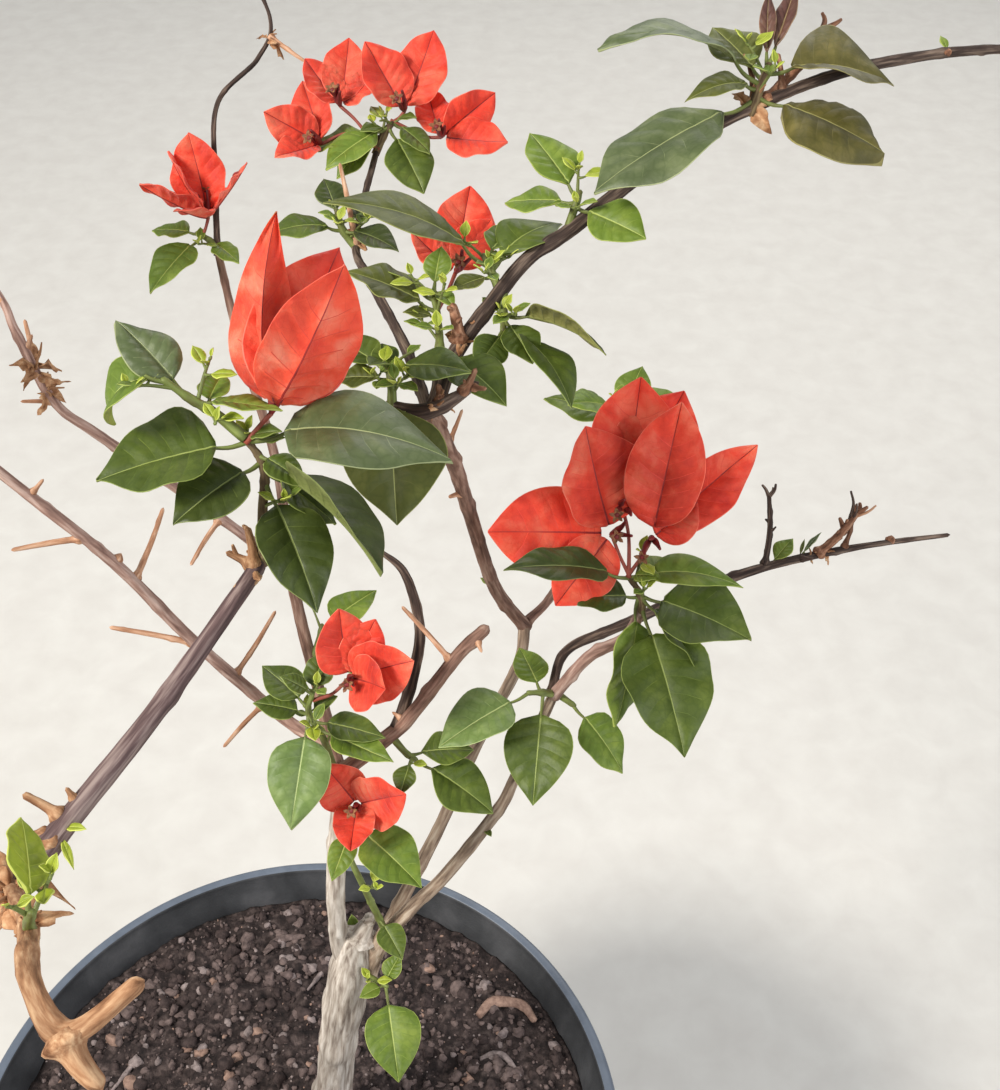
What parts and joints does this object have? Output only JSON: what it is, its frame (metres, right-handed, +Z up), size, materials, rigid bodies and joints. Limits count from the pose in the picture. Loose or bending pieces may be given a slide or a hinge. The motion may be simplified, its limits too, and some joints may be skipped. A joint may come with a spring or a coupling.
{
  "type": "potted bougainvillea bush",
  "caption": "Sparse bougainvillea shrub in a round plastic pot: pale trunk, thorny arching canes, small clusters of oval leaves and papery coral-red bracts.",
  "frame": {"origin": "centre of the pot's flat underside, on the floor", "axes": "+Z up along the pot's axis; -Y is the side where the front cane arches out, +X the side where the long arching bough reaches out"},
  "size_m": [0.5191, 0.4559, 0.7747],
  "materials": {
    "pot_plastic": "satin",
    "potting_soil": "rough",
    "pale_bark": "matte",
    "young_bark": "matte",
    "dark_bark": "matte",
    "dead_wood": "matte",
    "foliage": "satin",
    "blossom": "matte"
  },
  "bodies": {
    "root": {"pot": "pot_plastic", "soil": "potting_soil", "trunk": "pale_bark", "left_limb": "pale_bark", "bough_front": "young_bark", "bough_back": "young_bark", "bough_right": "young_bark", "bare_right_twig": "dark_bark", "main_limb": "young_bark", "cross_stub": "dark_bark", "arch_bough_inner": "dark_bark", "arch_bough_outer": "dark_bark", "stub_stem": "dark_bark", "knee_stem": "dark_bark", "back_left_stem": "young_bark", "top_twig": "dark_bark", "inner_stem": "dark_bark", "thorny_branch_upper": "young_bark", "thorny_branch_lower": "young_bark", "cane_foot": "young_bark", "cane_arch": "young_bark", "back_stem": "young_bark", "dead_fork": "dead_wood", "front_spray": "foliage", "left_curl_spray": "foliage", "centre_spray": "foliage", "centre_shoot": "foliage", "arch_spray_low": "foliage", "arch_spray_under": "foliage", "arch_spray_mid": "foliage", "arch_tip_spray": "foliage", "inner_spray": "foliage", "top_spray": "foliage", "left_back_spray": "foliage", "right_spray": "foliage", "low_spray": "foliage", "low_front_spray": "foliage", "stub_spray": "foliage", "middle_spray": "foliage", "middle_back_spray": "foliage", "stem_spray": "foliage", "trunk_shoot": "foliage", "young_cane_spray": "foliage", "upper_branch_tip": "foliage", "lower_branch_tip": "foliage", "arch_end_spray": "foliage", "back_spray": "foliage", "cane_foot_spray": "foliage", "bloom_front": "blossom", "bloom_right": "blossom", "bloom_arch": "blossom", "bloom_top_right": "blossom", "bloom_top_left": "blossom", "bloom_left_back": "blossom", "bloom_low_upper": "blossom", "bloom_low_front": "blossom"}
  },
  "joints": []
}
